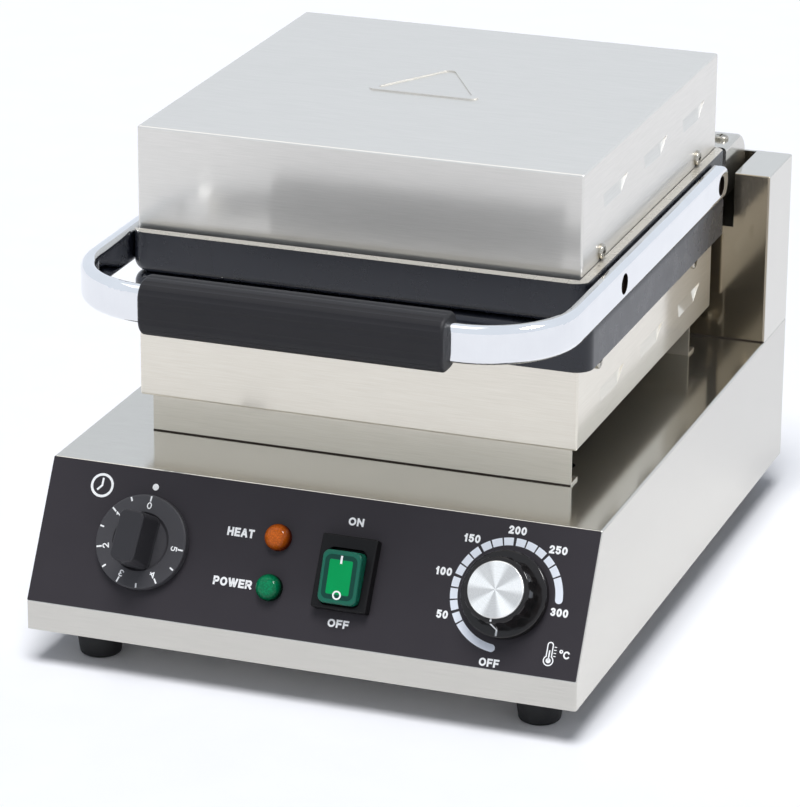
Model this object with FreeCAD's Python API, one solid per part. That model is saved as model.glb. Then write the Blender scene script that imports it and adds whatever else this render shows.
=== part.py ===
# Waffle cone maker: a hinged pair of cast baking plates on a stainless cabinet with a sloped control panel.
# Millimetres. +Z is up, -Y is the front, and the origin lies under the middle of the whole machine.
import FreeCAD, Part
import math
import os

os.makedirs("parts", exist_ok=True)
V = FreeCAD.Vector
X_AXIS = V(1, 0, 0)
Y_AXIS = V(0, 1, 0)
Z_AXIS = V(0, 0, 1)

# Sheet metal and fits
sheet = 1.2
fold_radius = 1.0
slip = 0.05
seat_gap = 0.3
loose_gap = 0.5

# Cabinet
base_width = 250.0
base_length = 326.0
lip_height = 13.0
panel_run = 32.2
panel_rise = 56.0
foot_height = 17.0
foot_top_radius = 11.4
foot_bottom_radius = 9.0
foot_edge = 1.5
foot_inset_x = 23.7
foot_inset_y = 25.0
foot_recess_radius = 5.0
foot_recess_depth = 9.0
foot_nut_radius = 4.0
foot_nut_height = 3.2

# Hinge tower
tower_depth = 40.0
tower_height = 81.4
tower_arm = 16.8
notch_depth = 26.2
notch_back_wall = 2.8

# Baking unit, from the deck up
stand_height = 18.2
stand_flange = 9.5
stand_inset_x = 10.5
front_stand_inset = 13.0
rear_stand_inset = 21.0
housing_height = 38.3
housing_inset = 7.7
housing_back_inset = 0.3
housing_side_inset = 6.6
lower_plate_height = 20.2
parting_gap = 0.4
upper_plate_height = 18.9
rim_width = 5.0
rim_height = 2.0
shell_height = 47.0
shell_inset = 8.6
shell_back_inset = 1.4
shell_side_inset = 6.3
plate_setback = 63.6
plate_tower_gap = 9.0
plate_notch_gap = 0.9
plate_trim = 5.6
upper_trim = 0.9
plate_corner = 8.0
plate_edge = 5.0
plate_web = 10.0
spigot_height = 10.0
spigot_thickness = 5.0

# Baking pattern
pattern_radius = 95.0
pattern_recess = 1.0
pattern_depth = 1.2
pattern_pitch = 13.0
pattern_groove = 2.6

# Hinge
hinge_setback = 17.5
hinge_rise = 3.3
pin_radius = 5.0
lug_radius = 11.5
lug_width = 17.0
cover_radius = 13.0
cover_drop = 11.0
cover_bend = 2.0
cover_gap = 4.7
bracket_radius = 10.0
bracket_width = 18.0
bracket_spacing = 5.0
bracket_leg_rear = 5.5
bracket_leg_front = 20.0

# Embossed triangle on the lid
triangle_side = 55.0
triangle_bead = 2.2
triangle_relief = 0.6
triangle_x = -2.5
triangle_y = 177.1
triangle_corner = 3.0

# Louvres
louvre_length = 23.5
louvre_height = 6.5
louvre_depth = 3.0
louvre_front_run = 2.0
louvre_rear_run = 10.0
louvre_facets = 4
louvre_pitch = 59.5
housing_louvre_shift = 2.3
shell_louvre_rise = 27.1
housing_louvre_rise = 14.7

# Handle
bar_height = 16.8
bar_thickness = 6.8
bar_edge = 3.3
bar_corner = 38.5
handle_reach = 2.5
handle_rise = 10.7
arm_tail = 22.0
handle_screw_front = 31.0
handle_screw_rear = 10.4
handle_screw_radius = 2.5
handle_head_radius = 4.4
handle_head_height = 2.6
handle_sink = 4.2
handle_screw_grip = 6.0
grip_length = 134.6
grip_x = 1.2
grip_depth = 20.0
grip_height = 24.7
grip_corner = 8.0
grip_end_radius = 2.0
grip_flutes = 14
grip_flute_radius = 5.0
grip_flute_depth = 0.25

# Controls on the sloped panel: u runs across from the middle, v runs up the slope from the lip
overlay_thickness = 0.5
overlay_margin = 0.35
overlay_corner = 0.4
control_v = 32.0
timer_inset_x = 49.0
thermostat_inset_x = 36.4
lamp_u = -15.5
heat_lamp_v = 42.5
power_lamp_v = 20.7
switch_u = 17.95
switch_v = 31.0

shaft_radius = 3.0
bush_radius = 5.0
bush_height = 2.6
nut_radius = 7.5
nut_height = 2.0
knob_lift = 0.6
shaft_in_knob = 8.0
shaft_root = 12.0

timer_skirt_radius = 20.7
timer_skirt_height = 4.0
timer_bar_width = 11.2
timer_bar_length = 22.3
timer_bar_height = 22.0
timer_bar_draft = 0.7
timer_dish_radius = 13.0
timer_dish_depth = 1.5
timer_rest_turn = 4.0
timer_box = 40.0
timer_box_depth = 28.0

thermostat_skirt_radius = 18.75
thermostat_skirt_height = 4.5
thermostat_body_radius = 15.5
thermostat_top_radius = 14.2
thermostat_knob_height = 16.5
thermostat_flutes = 12
thermostat_flute_radius = 4.0
thermostat_flute_depth = 1.7
cap_radius = 12.25
cap_height = 1.4
thermostat_box = 34.0
thermostat_box_depth = 24.0

lamp_radius = 5.8
lamp_foot = 1.4
lamp_barrel_radius = 4.8
lamp_barrel_length = 20.0
lamp_nut_radius = 7.5
lamp_nut_height = 3.0

switch_width = 25.0
switch_height = 32.0
switch_proud = 5.5
switch_body_width = 21.4
switch_body_height = 28.0
switch_body_depth = 20.0
rocker_width = 17.5
rocker_height = 22.8
rocker_corner = 3.2
rocker_proud = 5.1
rocker_depth = 8.0
rocker_pivot = 7.0
rocker_drop = 2.0
rocker_rest_tilt = 6.0
rocker_pin_radius = 1.5
rocker_pin_length = 1.5
rocker_end_gap = 1.2
window_width = 10.4
window_height = 14.6
window_thickness = 1.0

# Heating and wiring
heater_radius = 4.0
heater_side_gap = 19.7
heater_front_gap = 6.1
heater_tail_gap = 8.1
heater_spacing = 34.0
heater_pin_radius = 1.6
heater_pin_length = 12.0
clamp_thickness = 3.0
clamp_width = 18.0
clamp_screw_bite = 6.0
clamp_overhang = 8.0
clamp_setback = 30.0
insulation_inset = 27.0
lower_insulation_thickness = 16.0
upper_insulation_thickness = 14.0
capillary_radius = 1.2
capillary_bend = 9.0
capillary_run = 12.0
capillary_hole = 4.0
riser_inset = 36.4
bulb_radius = 3.0
bulb_length = 70.0
bulb_setback = 20.0
terminal_size = (46.0, 22.0, 16.0)
terminal_inset_y = 60.0

# Inlet gland in the back wall
gland_inset_x = 45.0
gland_drop = 45.0
gland_head = 6.0
gland_head_radius = 11.0
gland_thread_radius = 8.0
gland_thread = 9.0
gland_bore_radius = 4.5
gland_nut_height = 4.0

# Screws
screw_radius = 2.0
screw_head_radius = 3.5
screw_head_height = 1.7
screw_reach = 6.0
shell_screw_inset = (26.0, 31.5)
shell_screw_rise = 5.8
housing_screw_drop = 6.0
cover_screw_inset = 6.5
cover_screw_setback = 14.0

# Levels and outlines that follow from the sizes above
grip_reach = handle_reach + grip_depth / 2
front = (grip_reach - base_length - gland_head) / 2
back = front + base_length
half_base = base_width / 2
floor_z = foot_height
lip_z = floor_z + lip_height
deck_z = lip_z + panel_rise
housing_z = deck_z + stand_height
lower_z = housing_z + housing_height
parting_z = lower_z + lower_plate_height
upper_z = parting_z + parting_gap
rim_z = upper_z + upper_plate_height
shell_z = rim_z - rim_height
lid_top_z = shell_z + shell_height
slope = math.atan2(panel_run, panel_rise)
slope_length = math.hypot(panel_run, panel_rise)
tower_front = back - tower_depth
tower_top = deck_z + tower_height
notch_z = tower_top - notch_depth
half_notch = half_base - tower_arm
half_plate = half_notch - plate_notch_gap
plate_front = front + plate_setback
plate_back = tower_front - plate_tower_gap
plate_left = plate_trim - half_plate
upper_right = half_plate - upper_trim
half_shell = half_plate - shell_side_inset
half_housing = half_plate - housing_side_inset
housing_front = plate_front + housing_inset
housing_back = plate_back - housing_back_inset
shell_front = plate_front + shell_inset
shell_back = plate_back - shell_back_inset
unit_middle = (shell_front + shell_back) / 2
hinge_y = back - hinge_setback
hinge_z = parting_z + hinge_rise
half_cover = half_notch - cover_gap
handle_z = upper_z + handle_rise
bar_y = front - handle_reach
bar_left = plate_left - bar_thickness / 2
bar_right = upper_right + bar_thickness / 2
timer_u = timer_inset_x - half_base
thermostat_u = half_base - thermostat_inset_x
gland_x = half_base - gland_inset_x
spigot_inset = sheet + seat_gap
pocket_inset = spigot_inset + spigot_thickness
pocket_half = half_plate - max(housing_side_inset, shell_side_inset) - pocket_inset
pocket_reach = (shell_back - shell_front) / 2 - pocket_inset
wool_half = half_plate - insulation_inset


def block(x0, x1, y0, y1, z0, z1):
    """Straight block between two corners."""
    return Part.makeBox(x1 - x0, y1 - y0, z1 - z0, V(x0, y0, z0))


def rod(radius, start, direction, length):
    """Round bar from a start point."""
    return Part.makeCylinder(radius, length, start, direction)


def side_plate(points, x0, x1):
    """Flat plate cut to a side outline of (y, z) points, from x0 to x1."""
    outline = [V(x0, y, z) for y, z in points]
    return Part.Face(Part.makePolygon(outline + outline[:1])).extrude(V(x1 - x0, 0, 0))


def rounded_outline(width, height, radius, z=0.0):
    """Closed rectangle with round corners, centred in the XY plane."""
    a = width / 2
    b = height / 2
    k = radius * math.sqrt(0.5)
    edges = []
    for sx, sy in ((1, 1), (-1, 1), (-1, -1), (1, -1)):
        centre = V(sx * (a - radius), sy * (b - radius), z)
        along_x = centre + V(0, sy * radius, 0)
        along_y = centre + V(sx * radius, 0, 0)
        first, last = (along_y, along_x) if sx == sy else (along_x, along_y)
        edges.append(Part.Arc(first, centre + V(sx * k, sy * k, 0), last).toShape())
        if sx == sy:
            edges.append(Part.LineSegment(along_x, V(-along_x.x, along_x.y, z)).toShape())
        else:
            edges.append(Part.LineSegment(along_y, V(along_y.x, -along_y.y, z)).toShape())
    return Part.Wire(edges)


def rounded_block(width, height, radius, z0, z1):
    """Block with round upright corners, centred on the Z axis."""
    return Part.Face(rounded_outline(width, height, radius, z0)).extrude(V(0, 0, z1 - z0))


def edges_at(shape, keep):
    """Edges whose every corner passes the test."""
    return [e for e in shape.Edges if all(keep(v.Point) for v in e.Vertexes)]


def near(a, b):
    """Whether two lengths are the same."""
    return abs(a - b) < 1e-4


def folded(form, open_z):
    """Sheet form with every edge rounded but those of its open side."""
    edges = [e for e in form.Edges if not all(near(v.Point.z, open_z) for v in e.Vertexes)]
    return form.makeFillet(fold_radius, edges)


def place(shape, position, axis=Z_AXIS, degrees=0.0):
    """Copy of a shape, turned about an axis through the origin and moved."""
    moved = shape.copy()
    moved.Placement = FreeCAD.Placement(position, FreeCAD.Rotation(axis, degrees)) * shape.Placement
    return moved


def on_panel(shape, u, v):
    """Copy of a shape drawn on the panel: local x across, y up the slope, z out of the panel."""
    origin = V(u, front + v * math.sin(slope), lip_z + v * math.cos(slope))
    return place(shape, origin, X_AXIS, 90 - math.degrees(slope))


def mirrored(shape):
    """The same piece on the other side of the machine."""
    return shape.mirror(V(0, 0, 0), X_AXIS)


def save(name, *solids):
    """Write one node, of one solid or of a group of like solids."""
    shape = solids[0] if len(solids) == 1 else Part.makeCompound(list(solids))
    shape.exportStep("parts/" + name + ".step")


def pan_screw(reach):
    """Pan-head screw pointing down, its head seated on z = 0, with a cross slot."""
    head = rod(screw_head_radius, V(0, 0, 0), Z_AXIS, screw_head_height)
    head = head.makeFillet(screw_head_height * 0.6, edges_at(head, lambda p: near(p.z, screw_head_height)))
    slot = screw_head_radius * 0.6
    cut = screw_head_radius * 0.12
    for turn in (0, 90):
        groove = block(-slot, slot, -cut, cut, screw_head_height / 2, screw_head_height)
        head = head.cut(place(groove, V(0, 0, 0), Z_AXIS, turn))
    return head.fuse(rod(screw_radius, V(0, 0, -reach), Z_AXIS, reach))


def hexagon(radius, height):
    """Six-sided bar standing on z = 0."""
    corners = [V(radius * math.cos(i * math.pi / 3), radius * math.sin(i * math.pi / 3), 0) for i in range(6)]
    return Part.Face(Part.makePolygon(corners + corners[:1])).extrude(V(0, 0, height))


def hex_nut(radius, bore, height):
    """Hexagon nut standing on z = 0."""
    return hexagon(radius, height).cut(rod(bore, V(0, 0, 0), Z_AXIS, height))


def bent_path(points, bend):
    """Wire of straight runs joined by tangent arcs of one radius."""
    edges = []
    start = points[0]
    for before, corner, after in zip(points, points[1:], points[2:]):
        d1 = (corner - before).normalize()
        d2 = (after - corner).normalize()
        half_turn = d1.getAngle(d2) / 2
        reach = bend * math.tan(half_turn)
        inward = (d2 - d1).normalize()
        middle = corner + inward * (bend / math.cos(half_turn) - bend)
        first = corner - d1 * reach
        last = corner + d2 * reach
        edges.append(Part.LineSegment(start, first).toShape())
        edges.append(Part.Arc(first, middle, last).toShape())
        start = last
    edges.append(Part.LineSegment(start, points[-1]).toShape())
    return Part.Wire(edges)


def tube(path, radius):
    """Round bar swept along a path."""
    start = path.Edges[0]
    tip = start.valueAt(start.FirstParameter)
    ring = Part.Wire(Part.makeCircle(radius, tip, start.tangentAt(start.FirstParameter)))
    return path.makePipeShell([ring], True, False)


# Floor plate and feet: each rubber foot is held by a screw up through the plate into a nut
foot_spots = []
for sx in (-1, 1):
    for foot_y in (front + foot_inset_y, back - foot_inset_y):
        foot_spots.append((sx * (half_base - foot_inset_x), foot_y))
floor_edge = sheet + seat_gap
base_floor = block(floor_edge - half_base, half_base - floor_edge, front + floor_edge, back - floor_edge,
                   floor_z, floor_z + sheet)
foot = Part.makeCone(foot_bottom_radius, foot_top_radius, foot_height)
foot = foot.makeFillet(foot_edge, edges_at(foot, lambda p: near(p.z, 0)))
foot = foot.cut(rod(foot_recess_radius, V(0, 0, 0), Z_AXIS, foot_recess_depth))
foot = foot.cut(rod(screw_radius + slip, V(0, 0, 0), Z_AXIS, foot_height))
foot_screw_reach = foot_height - foot_recess_depth + sheet + foot_nut_height + screw_radius / 2
foot_screw = place(pan_screw(foot_screw_reach), V(0, 0, foot_recess_depth), X_AXIS, 180)
foot_nut = hex_nut(foot_nut_radius, screw_radius + slip, foot_nut_height)
for x, y in foot_spots:
    base_floor = base_floor.cut(rod(screw_radius + slip, V(x, y, floor_z), Z_AXIS, sheet))
save("base_floor", base_floor)
save("feet", *[place(foot, V(x, y, 0)) for x, y in foot_spots])
save("foot_screws", *[place(foot_screw, V(x, y, 0)) for x, y in foot_spots])
save("foot_nuts", *[place(foot_nut, V(x, y, floor_z + sheet)) for x, y in foot_spots])


# Cabinet: folded stainless sheet, open underneath
def cabinet_outline(inset):
    """Side outline of the cabinet, moved inwards by inset."""
    lip_shift = inset * math.tan(slope / 2)
    deck_shift = inset * math.tan((math.pi / 2 - slope) / 2)
    return [
        (front + inset, floor_z),
        (front + inset, lip_z - lip_shift),
        (front + panel_run + deck_shift, deck_z - inset),
        (back - inset, deck_z - inset),
        (back - inset, floor_z),
    ]


def panel_hole(radius, u, v):
    """Round hole through the film and the sheet of the panel."""
    depth = 2 * sheet + overlay_thickness
    return on_panel(rod(radius, V(0, 0, -depth), Z_AXIS, 2 * depth), u, v)


stand_half = half_plate - stand_inset_x
stand_screw_x = stand_half - 2 * screw_head_radius
front_stand_y = plate_front + front_stand_inset
rear_stand_y = plate_back - rear_stand_inset
stand_screw_shift = (sheet + stand_flange) / 2
stand_screw_spots = []
for sx in (-1, 1):
    for stand_y in (front_stand_y, rear_stand_y):
        stand_screw_spots.append((sx * stand_screw_x, stand_y + stand_screw_shift))
gland_z = deck_z - gland_drop
riser_x = (wool_half + pocket_half) / 2
riser_y = plate_front + riser_inset
riser = rod(capillary_hole, V(riser_x, riser_y, floor_z), Z_AXIS, housing_z + sheet - floor_z)
panel_holes = [
    panel_hole(bush_radius + slip, timer_u, control_v),
    panel_hole(bush_radius + slip, thermostat_u, control_v),
    panel_hole(lamp_barrel_radius + slip, lamp_u, heat_lamp_v),
    panel_hole(lamp_barrel_radius + slip, lamp_u, power_lamp_v),
]
switch_hole_depth = 2 * sheet + overlay_thickness
switch_hole = rounded_block(switch_body_width + 2 * seat_gap, switch_body_height + 2 * seat_gap, fold_radius,
                            -switch_hole_depth, switch_hole_depth)
panel_holes.append(on_panel(switch_hole, switch_u, switch_v))

cabinet = side_plate(cabinet_outline(0), -half_base, half_base)
cabinet = folded(cabinet, floor_z)
cabinet = cabinet.cut(side_plate(cabinet_outline(sheet), sheet - half_base, half_base - sheet))
cabinet = cabinet.cut(panel_holes + [riser])
gland_seat = V(gland_x, back - 2 * sheet, gland_z)
cabinet = cabinet.cut(rod(gland_thread_radius + slip, gland_seat, Y_AXIS, 3 * sheet))
for x, y in stand_screw_spots:
    cabinet = cabinet.cut(rod(screw_radius + slip, V(x, y, deck_z - 2 * sheet), Z_AXIS, 3 * sheet))
save("base_housing", cabinet)

# Printed film over the whole sloped face
overlay_height = slope_length - 2 * overlay_margin
overlay = rounded_block(base_width - 2 * overlay_margin, overlay_height, overlay_corner, 0, overlay_thickness)
overlay = on_panel(overlay, 0, slope_length / 2)
save("control_overlay", overlay.cut(panel_holes))


# Timer and thermostat: a body behind the panel with a bush through it, a nut, a shaft and a knob
knob_z = overlay_thickness + knob_lift
bush_top = overlay_thickness + bush_height
knob_bore_z = bush_top + seat_gap
shaft_top = knob_bore_z + shaft_in_knob


def bushed(body):
    """Control body with its threaded bush and the bore for its shaft."""
    bush = rod(bush_radius, V(0, 0, -sheet), Z_AXIS, sheet + bush_top)
    bore_length = sheet + shaft_root + bush_top
    return body.fuse(bush).cut(rod(shaft_radius + slip, V(0, 0, -sheet - shaft_root), Z_AXIS, bore_length))


def hollowed(knob):
    """Knob with room for the nut underneath and a bore for the shaft."""
    room = rod(nut_radius + loose_gap, V(0, 0, knob_z), Z_AXIS, knob_bore_z - knob_z)
    bore = rod(shaft_radius + slip, V(0, 0, knob_z), Z_AXIS, shaft_top - knob_z)
    return knob.cut([room, bore])


panel_nut = place(hex_nut(nut_radius, bush_radius + slip, nut_height), V(0, 0, overlay_thickness))
shaft_bottom = seat_gap - sheet - shaft_root
shaft = rod(shaft_radius, V(0, 0, shaft_bottom), Z_AXIS, shaft_top - shaft_bottom)

timer_case = rounded_block(timer_box, timer_box, fold_radius, -sheet - timer_box_depth, -sheet)
save("timer_body", on_panel(bushed(timer_case), timer_u, control_v))
save("timer_nut", on_panel(panel_nut, timer_u, control_v))
save("timer_shaft", on_panel(shaft, timer_u, control_v))

skirt = rod(timer_skirt_radius, V(0, 0, knob_z), Z_AXIS, timer_skirt_height)
skirt_top = knob_z + timer_skirt_height
skirt = skirt.makeFillet(fold_radius, edges_at(skirt, lambda p: near(p.z, skirt_top)))
dish = Part.makeCone(timer_dish_radius - timer_dish_depth, timer_dish_radius, timer_dish_depth,
                     V(0, 0, skirt_top - timer_dish_depth))
root = rounded_outline(timer_bar_width + 2 * timer_bar_draft, timer_bar_length + 2 * timer_bar_draft,
                       3 * fold_radius, knob_z + nut_height)
crest = rounded_outline(timer_bar_width, timer_bar_length, 3 * fold_radius, timer_bar_height)
timer_bar = Part.makeLoft([root, crest], True)
timer_bar = timer_bar.makeFillet(fold_radius, edges_at(timer_bar, lambda p: near(p.z, timer_bar_height)))
timer_knob = hollowed(skirt.cut(dish).fuse(timer_bar))
save("timer_knob", on_panel(place(timer_knob, V(0, 0, 0), Z_AXIS, -timer_rest_turn), timer_u, control_v))

thermostat_back = V(0, 0, -sheet - thermostat_box_depth)
thermostat_case = rod(thermostat_box / 2, thermostat_back, Z_AXIS, thermostat_box_depth)
save("thermostat_body", on_panel(bushed(thermostat_case), thermostat_u, control_v))
save("thermostat_nut", on_panel(panel_nut, thermostat_u, control_v))
save("thermostat_shaft", on_panel(shaft, thermostat_u, control_v))

skirt = rod(thermostat_skirt_radius, V(0, 0, knob_z), Z_AXIS, thermostat_skirt_height)
skirt_top = knob_z + thermostat_skirt_height
skirt = skirt.makeFillet(fold_radius, edges_at(skirt, lambda p: near(p.z, skirt_top)))
barrel_height = thermostat_knob_height - skirt_top
barrel = Part.makeCone(thermostat_body_radius, thermostat_top_radius, barrel_height, V(0, 0, skirt_top))
barrel = barrel.makeFillet(fold_radius, edges_at(barrel, lambda p: near(p.z, thermostat_knob_height)))
flute_circle = thermostat_body_radius + thermostat_flute_radius - thermostat_flute_depth
for i in range(thermostat_flutes):
    angle = 2 * math.pi * (i + 0.5) / thermostat_flutes
    spot = V(flute_circle * math.cos(angle), flute_circle * math.sin(angle), skirt_top)
    barrel = barrel.cut(rod(thermostat_flute_radius, spot, Z_AXIS, barrel_height))
save("thermostat_knob", on_panel(hollowed(skirt.fuse(barrel)), thermostat_u, control_v))
knob_cap = rod(cap_radius, V(0, 0, thermostat_knob_height), Z_AXIS, cap_height)
cap_top = thermostat_knob_height + cap_height
knob_cap = knob_cap.makeFillet(cap_height / 2, edges_at(knob_cap, lambda p: near(p.z, cap_top)))
save("thermostat_knob_cap", on_panel(knob_cap, thermostat_u, control_v))

# Signal lamps: a domed lens on a barrel that a nut holds from behind
lens = rod(lamp_radius, V(0, 0, overlay_thickness), Z_AXIS, lamp_foot)
dome = Part.makeSphere(lamp_radius, V(0, 0, overlay_thickness + lamp_foot), Z_AXIS, 0, 90, 360)
lens = lens.fuse(dome).removeSplitter()
lamp_barrel = rod(lamp_barrel_radius, V(0, 0, -sheet - lamp_barrel_length), Z_AXIS,
                  sheet + lamp_barrel_length + overlay_thickness)
lamp_nut = place(hex_nut(lamp_nut_radius, lamp_barrel_radius + slip, lamp_nut_height),
                 V(0, 0, -sheet - lamp_nut_height))
lamp_vs = (heat_lamp_v, power_lamp_v)
save("heat_lamp_lens", on_panel(lens, lamp_u, heat_lamp_v))
save("power_lamp_lens", on_panel(lens, lamp_u, power_lamp_v))
save("lamp_barrels", *[on_panel(lamp_barrel, lamp_u, v) for v in lamp_vs])
save("lamp_nuts", *[on_panel(lamp_nut, lamp_u, v) for v in lamp_vs])

# Rocker switch: a frame with a body behind the panel, and a rocker on two stub pins with a bright window
switch_frame = rounded_block(switch_width, switch_height, fold_radius, overlay_thickness,
                             overlay_thickness + switch_proud)
frame_top = overlay_thickness + switch_proud
switch_frame = switch_frame.makeFillet(fold_radius, edges_at(switch_frame, lambda p: near(p.z, frame_top)))
switch_frame = switch_frame.fuse(rounded_block(switch_body_width, switch_body_height, fold_radius,
                                               -sheet - switch_body_depth, overlay_thickness))
rocker_z = frame_top + rocker_proud
pivot_z = rocker_z - rocker_pivot
rocker_dip = rocker_height / 2 * math.sin(math.radians(rocker_rest_tilt))
well_floor = rocker_z - rocker_depth - rocker_end_gap - rocker_dip
well = rounded_block(rocker_width + 2 * seat_gap, rocker_height + 2 * rocker_end_gap, rocker_corner,
                     well_floor, frame_top)
well = place(well, V(0, -rocker_drop, 0))
pin_half = rocker_width / 2 + seat_gap + rocker_pin_length
pin_bore = rod(rocker_pin_radius + slip, V(-pin_half - slip, -rocker_drop, pivot_z), X_AXIS,
               2 * (pin_half + slip))
save("switch_frame", on_panel(switch_frame.cut([well, pin_bore]), switch_u, switch_v))

rocker = rounded_block(rocker_width, rocker_height, rocker_corner, rocker_pivot - rocker_depth, rocker_pivot)
rocker = rocker.makeFillet(fold_radius, edges_at(rocker, lambda p: near(p.z, rocker_pivot)))
rocker = rocker.fuse(rod(rocker_pin_radius, V(-pin_half, 0, 0), X_AXIS, 2 * pin_half))
pocket = block(-window_width / 2, window_width / 2, -window_height / 2, window_height / 2,
               rocker_pivot - window_thickness, rocker_pivot)
pivot = V(0, -rocker_drop, pivot_z)
for name, piece in (("switch_rocker", rocker.cut(pocket)), ("switch_window", pocket)):
    save(name, on_panel(place(piece, pivot, X_AXIS, rocker_rest_tilt), switch_u, switch_v))

# Terminal block on the floor plate and the inlet gland in the back wall
terminal_x, terminal_y, terminal_z = terminal_size
terminal = block(gland_x - terminal_x / 2, gland_x + terminal_x / 2, back - terminal_inset_y - terminal_y,
                 back - terminal_inset_y, floor_z + sheet, floor_z + sheet + terminal_z)
for i in (-1, 0, 1):
    well_x = gland_x + i * terminal_x / 3
    terminal = terminal.cut(rod(screw_radius, V(well_x, back - terminal_inset_y - terminal_y / 2,
                                                floor_z + sheet + terminal_z / 2), Z_AXIS, terminal_z))
save("terminal_block", terminal)
gland = rod(gland_head_radius, V(gland_x, back, gland_z), Y_AXIS, gland_head)
gland = gland.makeFillet(2 * fold_radius, edges_at(gland, lambda p: near(p.y, back + gland_head)))
gland_tip = V(gland_x, back - gland_thread, gland_z)
gland = gland.fuse(rod(gland_thread_radius, gland_tip, Y_AXIS, gland_thread))
save("inlet_gland", gland.cut(rod(gland_bore_radius, gland_tip, Y_AXIS, gland_thread + gland_head)))
inlet_nut = hex_nut(gland_head_radius, gland_thread_radius + slip, gland_nut_height)
save("inlet_nut", place(inlet_nut, V(gland_x, back - sheet, gland_z), X_AXIS, 90))

# Hinge tower: a stainless box on the deck, notched where the hinge turns
tower = folded(block(-half_base, half_base, tower_front, back, deck_z, tower_top), deck_z)
notch_back = back - notch_back_wall
notch = block(-half_notch, half_notch, tower_front - sheet, notch_back, notch_z, tower_top + sheet)
half_room = half_base - sheet
cavity = block(-half_room, half_room, tower_front + sheet, back - sheet, deck_z, tower_top - sheet)
lining = block(-half_notch - sheet, half_notch + sheet, tower_front, back, notch_z - sheet, tower_top)
save("rear_tower", tower.cut(notch).cut(cavity.cut(lining)))

# Hinge brackets on the notch floor carry the pin
lug_out = half_cover - sheet - seat_gap
lug_in = lug_out - lug_width
bracket_out = lug_in - bracket_spacing
bracket_in = bracket_out - bracket_width
leg_front = hinge_y - bracket_leg_front
leg_rear = hinge_y - bracket_leg_rear
bracket = block(bracket_in, bracket_out, leg_front, leg_rear, notch_z, hinge_z)
bracket = bracket.fuse(rod(bracket_radius, V(bracket_in, hinge_y, hinge_z), X_AXIS, bracket_width))
bracket = bracket.cut(rod(pin_radius + slip, V(bracket_in, hinge_y, hinge_z), X_AXIS, bracket_width))
save("hinge_brackets", bracket, mirrored(bracket))
save("hinge_pin", rod(pin_radius, V(-lug_out, hinge_y, hinge_z), X_AXIS, 2 * lug_out))


# Stands: two folded channels that carry the baking unit above the deck
def stand(y):
    """Channel with its web at y and both flanges towards the back."""
    solid = block(-stand_half, stand_half, y, y + stand_flange, deck_z, housing_z)
    room = block(-stand_half, stand_half, y + sheet, y + stand_flange, deck_z + sheet, housing_z - sheet)
    channel = solid.cut(room)
    for sx in (-1, 1):
        hole = V(sx * stand_screw_x, y + stand_screw_shift, deck_z)
        channel = channel.cut(rod(screw_radius + slip, hole, Z_AXIS, stand_height))
    return channel


save("front_stand", stand(front_stand_y))
save("rear_stand", stand(rear_stand_y))
down_screw = pan_screw(screw_reach)
up_screw = place(down_screw, V(0, 0, 0), X_AXIS, 180)
stand_screws = [place(down_screw, V(x, y, deck_z + sheet)) for x, y in stand_screw_spots]
stand_screws += [place(up_screw, V(x, y, housing_z - sheet)) for x, y in stand_screw_spots]
save("stand_screws", *stand_screws)


# Sheet boxes of the baking unit: louvres pressed inwards along both sides
def box_inside(half_width, y0, y1, inset, z0, z1):
    """Room inside a sheet box, at some inset from its sides."""
    return block(inset - half_width, half_width - inset, y0 + inset, y1 - inset, z0, z1)


def wedge(depth, height, length):
    """Louvre form against the plane x = 0, deepest along its top edge, its ends sloped and rounded."""
    turns = [i * math.pi / 2 / louvre_facets for i in range(louvre_facets + 1)]
    rim = []
    for sy, run in ((-1, louvre_front_run), (1, louvre_rear_run)):
        end = [(depth * math.cos(t), length / 2 + run * depth / louvre_depth * math.sin(t)) for t in turns]
        rim += [V(x, sy * y, 0) for x, y in end[::sy]]
    feet = [V(0, math.copysign(length / 2, p.y), -height) for p in rim]
    faces = [Part.Face(Part.makePolygon(rim + rim[:1]))]
    for i in range(len(rim)):
        corners = [rim[i - 1], rim[i], feet[i]]
        if feet[i - 1] != feet[i]:
            corners.append(feet[i - 1])
        faces.append(Part.Face(Part.makePolygon(corners + corners[:1])))
    return Part.Solid(Part.Shell(faces))


def louvred(box, half_width, y, z):
    """Sheet box with three louvres pressed into each side, the middle one at y, their top edges at z."""
    skin_depth = louvre_depth + sheet
    skin = wedge(skin_depth, louvre_height * skin_depth / louvre_depth, louvre_length)
    skin = skin.common(block(0, skin_depth, -louvre_length, louvre_length, -3 * louvre_height, 0))
    hollow = wedge(louvre_depth, louvre_height, louvre_length)
    spots = [V(-half_width, y + i * louvre_pitch, z) for i in (-1, 0, 1)]
    skins = [place(skin, spot) for spot in spots]
    hollows = [place(hollow, spot) for spot in spots]
    box = box.fuse(skins + [mirrored(s) for s in skins])
    return box.cut(hollows + [mirrored(h) for h in hollows])


def side_screws(half_width, z):
    """Four screws into the sides of a sheet box, and the holes they need."""
    front_inset, back_inset = shell_screw_inset
    screws = []
    holes = []
    for sx in (-1, 1):
        for y in (shell_front + front_inset, shell_back - back_inset):
            screws.append(place(pan_screw(screw_reach), V(sx * half_width, y, z), Y_AXIS, sx * 90))
            start = V(sx * half_width, y, z)
            holes.append(rod(screw_radius + slip, start, V(-sx, 0, 0), screw_reach + slip))
    return screws, holes


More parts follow.
